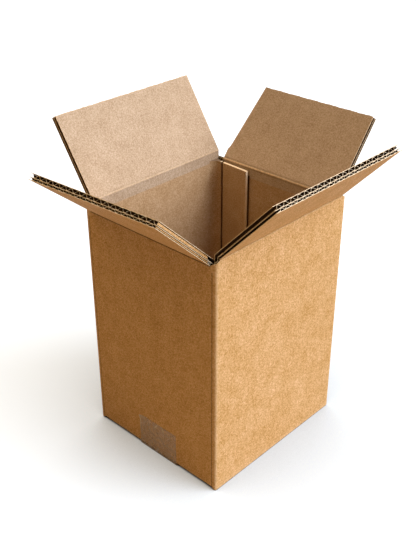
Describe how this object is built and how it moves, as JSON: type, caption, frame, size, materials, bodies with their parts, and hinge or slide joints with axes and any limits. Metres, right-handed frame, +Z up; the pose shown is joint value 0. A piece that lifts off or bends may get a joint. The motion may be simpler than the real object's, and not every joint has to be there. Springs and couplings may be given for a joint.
{
  "type": "open cardboard box",
  "caption": "Tall regular slotted carton of brown double-wall corrugated board, standing open with its hinged top flaps thrown outwards and its bottom taped shut.",
  "frame": {"origin": "middle of the carton's bottom face, on the surface it stands on", "axes": "+Z up; the front wall, with the tape's end, faces -Y; the right wall, under an outer flap, faces +X"},
  "size_m": [0.2497, 0.2753, 0.3053],
  "materials": {
    "kraft_board": "matt brown kraft liner with fine fibre mottling",
    "clear_tape": "clear packing tape, slightly hazy"
  },
  "bodies": {
    "carton": {"carton_body": "kraft_board", "bottom_tape": "clear_tape"},
    "front_flap": {"front_flap": "kraft_board"},
    "right_flap": {"right_flap": "kraft_board"},
    "back_flap": {"back_flap": "kraft_board"},
    "left_flap": {"left_flap": "kraft_board"}
  },
  "joints": [
    {"name": "front_flap_fold", "type": "hinge", "parent": "carton", "child": "front_flap", "pos_m": [0, -0.085, 0.231], "axis": [1, 0, 0], "range_deg": [-138.5, 126.5]},
    {"name": "right_flap_fold", "type": "hinge", "parent": "carton", "child": "right_flap", "pos_m": [0.0775, 0, 0.2373], "axis": [0, 1, 0], "range_deg": [-133, 132]},
    {"name": "back_flap_fold", "type": "hinge", "parent": "carton", "child": "back_flap", "pos_m": [0, 0.085, 0.231], "axis": [-1, 0, 0], "range_deg": [-128, 137]},
    {"name": "left_flap_fold", "type": "hinge", "parent": "carton", "child": "left_flap", "pos_m": [-0.0775, 0, 0.2373], "axis": [0, -1, 0], "range_deg": [-123, 142]}
  ]
}
